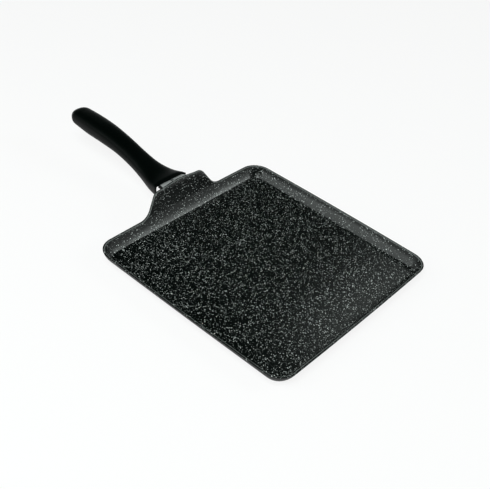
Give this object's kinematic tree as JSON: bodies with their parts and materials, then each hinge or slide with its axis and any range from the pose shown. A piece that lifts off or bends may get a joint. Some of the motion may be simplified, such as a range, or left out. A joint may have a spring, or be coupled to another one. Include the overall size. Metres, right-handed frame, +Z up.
{
  "type": "griddle pan",
  "caption": "Shallow square griddle pan with a low flared wall, a raised tab on one side and a curved fixed grip bolted to it for cooking flat food on a hob.",
  "frame": {"origin": "middle of the flat underside of the base", "axes": "+Z up, -X along the grip away from the tray, +Y to the side"},
  "size_m": [0.4795, 0.28, 0.0579],
  "materials": {
    "coated_aluminium": "black non-stick coating with fine white speckles",
    "grip_phenolic": "satin black moulding",
    "bracket_steel": "plain stamped steel sheet",
    "stud_aluminium": "bare threaded stud",
    "fastener_steel": "bright zinc plating",
    "insert_brass": "turned brass"
  },
  "bodies": {
    "root": {"pan_body": "coated_aluminium", "handle_bracket": "bracket_steel", "handle_grip": "grip_phenolic", "tab_stud_left": "stud_aluminium", "tab_stud_right": "stud_aluminium", "stud_washer_left": "fastener_steel", "stud_washer_right": "fastener_steel", "stud_nut_left": "fastener_steel", "stud_nut_right": "fastener_steel", "thread_insert": "insert_brass", "grip_washer": "fastener_steel", "grip_screw": "fastener_steel"}
  },
  "joints": []
}
